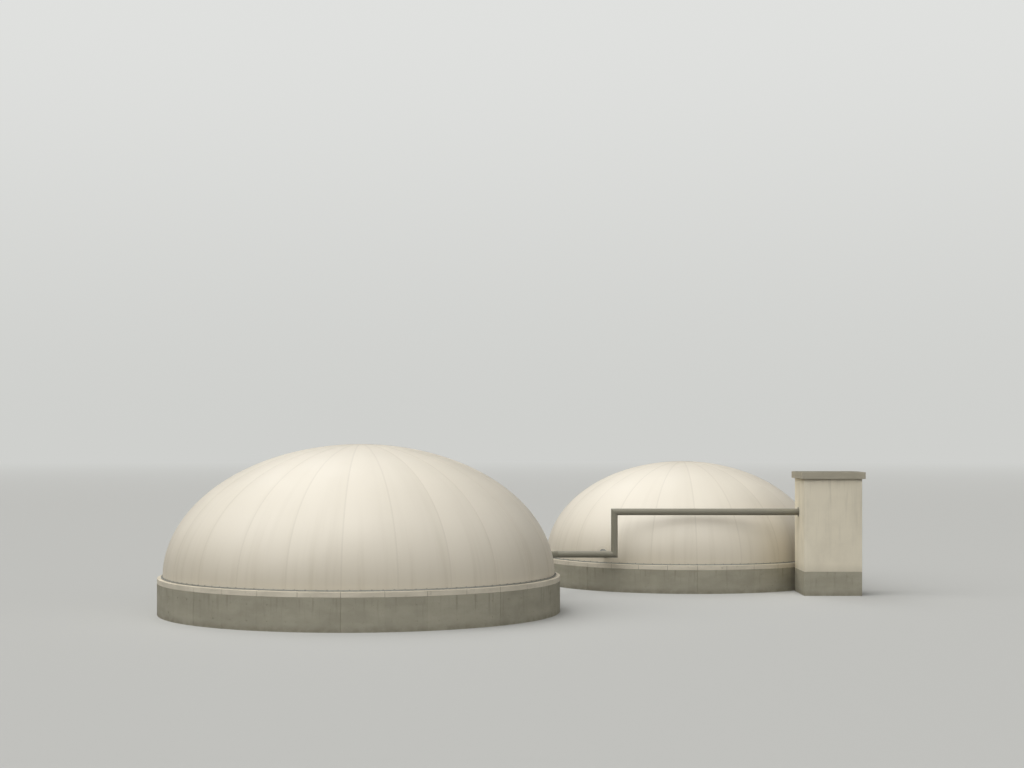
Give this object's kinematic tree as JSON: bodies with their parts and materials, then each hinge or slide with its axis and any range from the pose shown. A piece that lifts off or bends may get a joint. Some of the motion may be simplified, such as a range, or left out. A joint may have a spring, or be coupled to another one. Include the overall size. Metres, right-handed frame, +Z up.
{
  "type": "biogas digester",
  "caption": "Farm biogas digester: low round concrete tanks under domed membrane gas holders, joined by a stepped gas pipe to a slim flat-roofed service cabin.",
  "frame": {"origin": "centre of the main tank's underside, on the ground", "axes": "+X from the main tank towards the cabin, +Y towards the back, where the second tank stands, +Z up"},
  "size_m": [29.63, 29.15, 6.69],
  "materials": {
    "membrane": "PVC-coated polyester membrane, cream, satin lacquer, welded gores",
    "wall_concrete": "cast concrete, weathered grey-brown, fine pores",
    "coping_concrete": "smooth trowelled concrete, pale",
    "floor_concrete": "floated concrete",
    "galvanised_steel": "hot-dip galvanised, dull, faint spangle",
    "painted_steel": "grey-brown paint, satin",
    "cabin_render": "fine mineral render, matt",
    "roof_concrete": "cast concrete slab, weathered"
  },
  "bodies": {
    "root": {"main_wall_panel_1": "wall_concrete", "main_wall_panel_2": "wall_concrete", "main_wall_panel_3": "wall_concrete", "main_wall_panel_4": "wall_concrete", "main_wall_panel_5": "wall_concrete", "main_wall_panel_6": "wall_concrete", "main_wall_panel_7": "wall_concrete", "main_wall_panel_8": "wall_concrete", "main_floor_slab": "floor_concrete", "main_coping": "coping_concrete", "main_clamp_rail": "galvanised_steel", "main_dome": "membrane", "main_dome_collar": "galvanised_steel", "second_wall_panel_1": "wall_concrete", "second_wall_panel_2": "wall_concrete", "second_wall_panel_3": "wall_concrete", "second_wall_panel_4": "wall_concrete", "second_wall_panel_5": "wall_concrete", "second_wall_panel_6": "wall_concrete", "second_wall_panel_7": "wall_concrete", "second_wall_panel_8": "wall_concrete", "second_floor_slab": "floor_concrete", "second_coping": "coping_concrete", "second_clamp_rail": "galvanised_steel", "second_dome": "membrane", "second_dome_collar": "galvanised_steel", "pipe_main_dome_leg": "painted_steel", "pipe_lower_run": "painted_steel", "pipe_second_dome_branch": "painted_steel", "pipe_riser": "painted_steel", "pipe_upper_run": "painted_steel", "pipe_cabin_flange": "painted_steel", "cabin_front_wall": "cabin_render", "cabin_back_wall": "cabin_render", "cabin_left_wall": "cabin_render", "cabin_right_wall": "cabin_render", "cabin_base": "wall_concrete", "cabin_roof_slab": "roof_concrete"}
  },
  "joints": []
}
